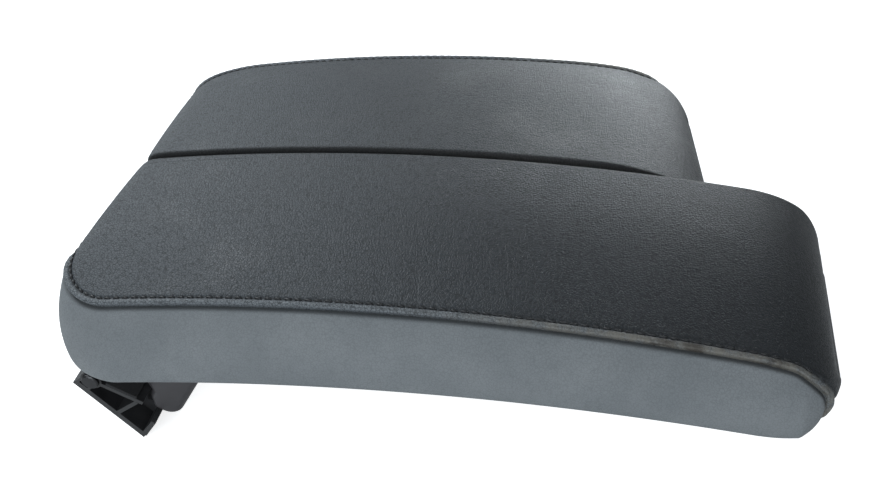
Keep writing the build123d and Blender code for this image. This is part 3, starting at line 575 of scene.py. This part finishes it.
def crowned_top(surface, inner):
    """The top inside the edge band as a grid of points; inner is the band's inner line all round."""
    starts = np.cumsum([0] + [len(side) - 1 for side in surface.sides])
    rear, outer, front, gap = [inner[a:b + 1] for a, b in zip(starts[:-1], starts[1:])]
    plan = coons_patch(rear[:, :2], outer[:, :2], front[:, :2], gap[:, :2])
    heights = top_height(surface.lid, plan[..., 0], plan[..., 1])
    grid = np.concatenate([plan, heights[..., None]], axis=2)
    grid[:, 0], grid[:, -1] = gap[::-1], outer
    grid[0, :], grid[-1, :] = rear, front[::-1]
    return grid


def make_side_leather(surface):
    """The side leather: a band round the outer side and the rear, tucked into the seam."""
    maker = MeshMaker(surface.lid)
    shares = np.linspace(0, 1, ROWS_SIDE) ** SIDE_ROW_CROWDING
    columns = []
    for station, start, end in zip(*surface.seam_depths()):
        depths = start + (end - start) * shares
        near = seam_distance(surface, station, depths)
        columns.append(np.column_stack([surface.column(station, depths, side_lift(near)), near]))
    maker.add_grid(columns)
    return maker


def thread_rings(spine, shares):
    """Rings of points round one stitch's spine, thinner towards its ends."""
    turns = np.linspace(0, 2 * np.pi, THREAD_SIDES + 1)
    tangent = unit_rows(np.gradient(spine, axis=0))
    side = unit_rows(np.cross(tangent, (0, 0, 1.0)))
    up = np.cross(side, tangent)
    width = THREAD_RADIUS * (1 - THREAD_TAPER * (2 * np.abs(shares)) ** 3)
    return [[p + w * (math.cos(t) * s + math.sin(t) * h) for t in turns]
            for p, w, s, h in zip(spine, width, side, up)]


def make_stitches(surface):
    """Threads of the seam, each dipping into the leather at both ends."""
    maker = MeshMaker(surface.lid)
    seam = surface.upper_seam
    run = unit_rows(np.gradient(seam, axis=0))
    row = seam + np.stack([run[:, 1], -run[:, 0]], axis=1) * STITCH_SETBACK
    steps = np.concatenate([[0], np.cumsum(np.linalg.norm(np.diff(row, axis=0), axis=1))])
    shares = np.linspace(-0.5, 0.5, THREAD_RINGS)
    slant = STITCH_SLANT * shares * 2
    rise = THREAD_RADIUS * (1.0 - (2 * np.abs(shares)) ** 4 * STITCH_DIP) - STITCH_GROOVE
    for n in range(FIRST_STITCH, int((steps[-1] - NOSE_LENGTH) / STITCH_PITCH)):
        places = (n + 0.5) * STITCH_PITCH + shares * STITCH_LENGTH
        runs = np.interp(places, steps, row[:, 0])
        depths = np.interp(places, steps, row[:, 1]) + slant
        spine = np.array([surface.point(*place) for place in zip(runs, depths, rise)])
        maker.add_grid(thread_rings(spine, shares))
    return maker


def make_leaf_spring(lid):
    """The lever's leaf spring, which the lid holds at its root and the lever lifts at its tip, copied as
    it stands from its CAD node, which it replaces.
    """
    node = f"{lid.name}_lever_spring"
    solid = bpy.data.objects[node]
    piece = bpy.data.objects.new(f"{lid.name}_leaf_spring", solid.data.copy())
    piece.matrix_world = solid.matrix_world
    bpy.context.scene.collection.objects.link(piece)
    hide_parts(node)
    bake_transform(piece)


# Finishes

class Wire:
    """A shader value that can be reckoned with and fed to other nodes."""

    def __init__(self, tree, socket):
        self.tree = tree
        self.socket = socket

    def fill(self, node, sockets):
        """Fills a node's sockets with plain values or other wires."""
        for name, value in sockets.items():
            if isinstance(value, Wire):
                self.tree.links.new(value.socket, node.inputs[name])
            else:
                node.inputs[name].default_value = value

    def node(self, kind, settings, sockets, output=0):
        """A new node with its settings and its sockets filled."""
        made = self.tree.nodes.new(kind)
        for name, value in settings.items():
            setattr(made, name, value)
        self.fill(made, sockets)
        return Wire(self.tree, made.outputs[output])

    def reckon(self, operation, first, second):
        """A Math node on two values."""
        return self.node("ShaderNodeMath", {"operation": operation}, {0: first, 1: second})

    def __add__(self, other):
        return self.reckon("ADD", self, other)

    def __sub__(self, other):
        return self.reckon("SUBTRACT", self, other)

    def __rsub__(self, other):
        return self.reckon("SUBTRACT", other, self)

    def __mul__(self, other):
        return self.reckon("MULTIPLY", self, other)

    def __truediv__(self, other):
        return self.reckon("DIVIDE", self, other)

    __radd__ = __add__
    __rmul__ = __mul__

    def step(self, start, end):
        """Goes smoothly from 0 at start to 1 at end."""
        return self.node("ShaderNodeMapRange", {"interpolation_type": "SMOOTHSTEP"},
                         {"Value": self, "From Min": start, "From Max": end})

    def noise(self, scale, detail=2.0, roughness=0.5):
        """Soft noise at these coordinates."""
        return self.node("ShaderNodeTexNoise", {}, {"Vector": self, "Scale": scale, "Detail": detail,
                                                    "Roughness": roughness})

    def cells(self, scale, feature):
        """Distance in a pattern of cells at these coordinates."""
        return self.node("ShaderNodeTexVoronoi", {"feature": feature}, {"Vector": self, "Scale": scale})

    def mix(self, first, second):
        """Colour that goes from first to second as this value goes from 0 to 1."""
        return self.node("ShaderNodeMix", {"data_type": "RGBA"}, {0: self, 6: first, 7: second}, output=2)

    def axis(self, index):
        """One of the three coordinates."""
        return self.node("ShaderNodeSeparateXYZ", {}, {0: self}, output=index)

    def bump(self, depth):
        """Normals of a surface whose height is this value times a depth in metres."""
        return self.node("ShaderNodeBump", {}, {"Strength": 1.0, "Distance": depth, "Height": self})


def start_material(name):
    """A new material, its Principled shader and its object coordinates in metres."""
    material = bpy.data.materials.new(name)
    material.use_nodes = True
    tree = material.node_tree
    place = Wire(tree, tree.nodes.new("ShaderNodeTexCoord").outputs["Object"])
    return material, tree.nodes["Principled BSDF"], place


def seam_wire(place):
    """Distance to the seam in millimetres, as the leather's points carry it."""
    return place.node("ShaderNodeAttribute", {"attribute_name": "seam_mm"}, {}, output=2)


def leather_grain(place):
    """Height of fine leather grain: small pebbles parted by creases, with finer pores."""
    wander = place.noise(500, 2)
    sway = place.node("ShaderNodeTexNoise", {}, {"Vector": place, "Scale": GRAIN_WANDER_SCALE}, output=1)
    bent = place.node("ShaderNodeVectorMath", {"operation": "MULTIPLY_ADD"},
                      {0: sway, 1: GRAIN_WANDER, 2: place})
    pebbles = bent.cells(PEBBLE_SCALE, "DISTANCE_TO_EDGE").step(0.0, 0.28)
    fine = bent.cells(FINE_GRAIN_SCALE, "DISTANCE_TO_EDGE").step(0.0, 0.3)
    return pebbles * 0.55 + fine * 0.25 + wander * 0.5


def top_leather_finish():
    """Dark leather that turns darker and shinier to the front, partly from handling and partly as painted
    shade where the light falls off to the front; rubbed and scuffed along its sewn edge, with painted
    shade in its stitch groove, creases, pores and gap.
    """
    material, shader, place = start_material("top_leather")
    along = (place.axis(0) - pad_origin.x) / (ARCH_SPAN * MM)
    seam = seam_wire(place)
    patches = place.noise(22, 4, 0.55)
    grain = leather_grain(place)
    # Darker towards the front: partly the handled front leather, partly painted shade where the light
    # falls off to the front
    toward_front = (along + (patches - 0.5) * 0.3).step(-0.12, 0.88)
    colour = toward_front.mix(LEATHER_REAR, LEATHER_FRONT)
    fold = seam.step(5.0, 3.4)
    colour = (fold * 0.85).mix(colour, LEATHER_FOLD)
    # Painted shade in the stitch groove and its needle holes
    shaded_groove = seam.step(3.3, 4.0) * seam.step(5.5, 4.7)
    colour = (shaded_groove * 0.35).mix(colour, GROOVE_SHADE)
    # Painted shade in the grain's creases
    creases = grain.step(0.62, 0.3)
    colour = (creases * 0.75).mix(colour, PIT_AND_CREASE_SHADE)
    rubbed = seam.step(4.8, 2.6) * along.step(0.42, 0.75) * place.noise(150, 5, 0.7).step(0.25, 0.6)
    colour = (rubbed * 0.85).mix(colour, RUBBED_BEIGE)
    scuffed = seam.step(4.0, 2.4) * along.step(0.66, 0.78) * place.noise(90, 5, 0.7).step(0.5, 0.66)
    colour = (scuffed * 0.8).mix(colour, SCUFF_BROWN)
    # Painted shade in the pores
    pores = place.cells(310, "F1").step(0.17, 0.08) * place.noise(110, 3).step(0.42, 0.6)
    colour = (pores * 0.55).mix(colour, PIT_AND_CREASE_SHADE)
    specks = place.cells(85, "F1").step(0.045, 0.03) * place.noise(37).step(0.58, 0.62)
    colour = (specks * 0.9).mix(colour, SPECK_BLACK)
    from_gap = place.reckon("ABSOLUTE", place.axis(1), 0.0)
    shaded_gap = from_gap.step(0.0044, 0.0020)
    colour = (shaded_gap * 0.9).mix(colour, GAP_SHADE)
    shine = 0.60 - toward_front * 0.2 - patches.step(0.5, 0.75) * 0.08 + rubbed * 0.12
    place.fill(shader, {"Base Color": colour, "Roughness": shine + creases * 0.12 + shaded_gap * 0.2,
                        "Normal": (grain + place.noise(330, 3) * 0.9 - pores * 0.6).bump(TOP_GRAIN_DEPTH),
                        "Specular IOR Level": 0.5})
    return material


def side_leather_finish():
    """Lighter leather with painted shade where it dives into the seam and in its grain's creases."""
    material, shader, place = start_material("side_leather")
    seam = seam_wire(place)
    patches = place.noise(30, 4, 0.6)
    grain = leather_grain(place)
    colour = patches.step(0.3, 0.75).mix(SIDE_LEATHER, SIDE_LEATHER_PALE)
    # Painted shade in the grain's creases
    creases = grain.step(0.6, 0.3)
    colour = (creases * 0.3).mix(colour, SIDE_CREASE_SHADE)
    # Painted shade where the side leather dives into the seam
    tuck_shade = seam.step(2.6, 0.4)
    colour = (tuck_shade * 0.7).mix(colour, SEAM_TUCK_SHADE)
    place.fill(shader, {"Base Color": colour, "Roughness": 0.62 + creases * 0.1,
                        "Normal": grain.bump(SIDE_GRAIN_DEPTH), "Specular IOR Level": 0.4})
    return material


def thread_finish():
    """Dark twisted thread."""
    material, shader, place = start_material("thread")
    twist = place.noise(THREAD_TWIST_SCALE, 2)
    colour = twist.step(0.3, 0.7).mix(THREAD_DARK, THREAD_LIGHT)
    place.fill(shader, {"Base Color": colour, "Roughness": 0.45, "Normal": twist.bump(THREAD_TWIST_DEPTH)})
    return material


def plain_finish(name, colour, roughness, grain_scale, grain_depth, metallic=0.0, wear=0.25):
    """A moulded or metal finish with fine grain and slight unevenness."""
    material, shader, place = start_material(name)
    patches = place.noise(45, 4, 0.6)
    dusty = tuple(min(1.0, c * (1 + wear) + 0.012 * wear) for c in colour) + (1,)
    grain = place.noise(grain_scale, 3)
    place.fill(shader, {"Base Color": patches.step(0.35, 0.7).mix(tuple(colour) + (1,), dusty),
                        "Roughness": roughness + (patches - 0.5) * 0.2, "Metallic": metallic,
                        "Normal": grain.bump(grain_depth)})
    return material


top_leather = top_leather_finish()
side_leather = side_leather_finish()
thread = thread_finish()
node_finishes = {
    "hinge_bracket": plain_finish("bracket_plastic", (0.010, 0.010, 0.011), 0.5, 900, 0.00006, wear=0.9),
    "bracket_felts": plain_finish("felt", (0.015, 0.015, 0.016), 0.95, 2500, 0.0003),
    "foam_pad": plain_finish("foam", (0.55, 0.52, 0.44), 0.9, 900, 0.0002),
    "lid_frame": plain_finish("frame_plastic", (0.035, 0.035, 0.038), 0.55, 900, 0.00005),
    "inner_panel": plain_finish("panel_plastic", (0.030, 0.030, 0.033), 0.6, 1400, 0.0001),
    "hinge_arm": plain_finish("arm_plastic", (0.032, 0.030, 0.033), 0.42, 1500, 0.00002),
    "arm_bushes": plain_finish("bush_nylon", (0.62, 0.60, 0.54), 0.4, 900, 0.00002),
    "closing_buffers": plain_finish("rubber", (0.018, 0.018, 0.018), 0.7, 900, 0.00004),
    "release_lever": plain_finish("lever_plastic", (0.030, 0.030, 0.033), 0.5, 1400, 0.00005),
    "hinge_pin": plain_finish("dark_steel", (0.05, 0.05, 0.052), 0.4, 1500, 0.00001, metallic=1.0),
}
steel = plain_finish("steel", (0.55, 0.55, 0.56), 0.32, 1500, 0.00001, metallic=1.0)


def dress_lid(lid):
    """Makes one lid's leather, stitching and leaf spring."""
    surface = PadSurface(lid)
    body = f"{lid.name}_lid"
    top = make_top_leather(surface).finish(f"{lid.name}_top_leather", body, "top_leather")
    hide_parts(f"{lid.name}_top_cover", f"{lid.name}_foam_pad")
    top.data.materials.append(top_leather)
    side = make_side_leather(surface).finish(f"{lid.name}_side_leather", body, "side_leather")
    side.data.materials.append(side_leather)
    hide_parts(f"{lid.name}_side_cover")
    stitches = make_stitches(surface).finish(f"{lid.name}_stitches", body, "top_leather")
    stitches.data.materials.append(thread)
    make_leaf_spring(lid)


def soften_edges(piece):
    """Rounds a hard piece's sharp edges slightly."""
    weld = piece.modifiers.new("weld", "WELD")
    weld.merge_threshold = WELD_REACH * MM
    bevel = piece.modifiers.new("edges", "BEVEL")
    bevel.width = EDGE_ROUNDING * MM
    bevel.segments = 2
    bevel.limit_method = "ANGLE"
    bevel.angle_limit = math.radians(EDGE_ANGLE)
    bevel.use_clamp_overlap = True
    piece.modifiers.new("normals", "WEIGHTED_NORMAL")


def finish_hard_pieces():
    """Gives the mouldings, metal and rubber their finishes; the leaf springs keep their thin edges."""
    for piece in [o for o in bpy.data.objects if o.type == "MESH" and not o.hide_render]:
        kind = piece.name.removeprefix("long_").removeprefix("short_")
        if kind in ("top_leather", "side_leather", "stitches"):
            continue
        piece.data.materials.clear()
        piece.data.materials.append(node_finishes.get(kind, steel))
        if kind != "leaf_spring":
            soften_edges(piece)


for lid in (LONG_LID, SHORT_LID):
    dress_lid(lid)
finish_hard_pieces()


# Camera, light and floor

def make_camera():
    """The photograph's view of the lids."""
    place, target = (pad_origin + Vector(p) * MM for p in (CAMERA_PLACE, CAMERA_TARGET))
    forward = (target - place).normalized()
    right = forward.cross(Vector((0, 0, 1))).normalized()
    up = right.cross(forward)
    turn_right = right * math.cos(CAMERA_ROLL) + up * math.sin(CAMERA_ROLL)
    turn_up = up * math.cos(CAMERA_ROLL) - right * math.sin(CAMERA_ROLL)
    data = bpy.data.cameras.new("camera")
    data.sensor_width = SENSOR_WIDTH
    data.lens = FOCAL_PIXELS * SENSOR_WIDTH / PHOTO_WIDTH
    camera = bpy.data.objects.new("camera", data)
    bpy.context.scene.collection.objects.link(camera)
    axes = Matrix((turn_right, turn_up, -forward)).transposed().to_4x4()
    camera.matrix_world = Matrix.Translation(place) @ axes
    bpy.context.scene.camera = camera


def make_lamp(name, place, target, size, power, spread=180):
    """A window-like lamp at a place, aimed at a target, in metres, watts and degrees."""
    data = bpy.data.lights.new(name, "AREA")
    data.shape = "RECTANGLE"
    data.size, data.size_y = size
    data.energy = power
    data.spread = math.radians(spread)
    data.color = DAYLIGHT
    lamp = bpy.data.objects.new(name, data)
    bpy.context.scene.collection.objects.link(lamp)
    aim = (Vector(target) - Vector(place)).to_track_quat("-Z", "Y").to_matrix().to_4x4()
    lamp.matrix_world = Matrix.Translation(Vector(place)) @ aim


def camera_rays(tree):
    """1 for what the camera sees straight, and 0 for light on the part."""
    return Wire(tree, tree.nodes.new("ShaderNodeLightPath").outputs["Is Camera Ray"])


def make_floor():
    """Paper that keeps the part's shadow and looks white to the camera."""
    reach, level = FLOOR_REACH, cad_low.z - FLOOR_DROP
    mesh = bpy.data.meshes.new("floor")
    mesh.from_pydata([(-reach, -reach, level), (reach, -reach, level), (reach, reach, level),
                      (-reach, reach, level)], [], [(0, 1, 2, 3)])
    floor = bpy.data.objects.new("floor", mesh)
    bpy.context.scene.collection.objects.link(floor)
    material = bpy.data.materials.new("floor")
    material.use_nodes = True
    tree = material.node_tree
    tree.nodes.clear()
    rays = camera_rays(tree)
    paper = rays.node("ShaderNodeBsdfDiffuse", {}, {"Color": PAPER})
    glow = rays.node("ShaderNodeEmission", {}, {"Strength": FLOOR_GLOW})
    lit = rays.node("ShaderNodeAddShader", {}, {0: paper, 1: glow})
    seen = rays.node("ShaderNodeMixShader", {}, {0: rays, 1: paper, 2: lit})
    rays.fill(tree.nodes.new("ShaderNodeOutputMaterial"), {"Surface": seen})
    mesh.materials.append(material)


def make_sky():
    """Even daylight on the part, and a white background to the camera."""
    world = bpy.data.worlds.new("studio")
    bpy.context.scene.world = world
    world.use_nodes = True
    tree = world.node_tree
    rays = camera_rays(tree)
    background = tree.nodes["Background"]
    rays.fill(background, {"Color": DAYLIGHT + (1,), "Strength": SKY_STRENGTH})
    white = rays.node("ShaderNodeBackground", {}, {"Color": WHITE})
    daylight = Wire(tree, background.outputs[0])
    seen = rays.node("ShaderNodeMixShader", {}, {0: rays, 1: daylight, 2: white})
    rays.fill(tree.nodes["World Output"], {"Surface": seen})


make_camera()
make_floor()
make_lamp("rear_window", (-0.75, 0.75, 0.85), (0.05, 0.0, 0.06), (0.7, 0.6), 13)
make_lamp("right_window", (0.42, 0.42, 0.24), (0.258, 0.085, 0.09), (0.12, 0.12), 0.042, spread=40)
make_lamp("rear_low", (0.30, 1.25, 0.20), (0.25, 0.02, 0.09), (0.5, 0.12), 2.6)
make_lamp("front_fill", (0.0, -1.1, 0.6), (0.13, 0.0, 0.06), (1.1, 0.8), 10)
make_sky()
bpy.context.scene.view_settings.view_transform = "Standard"
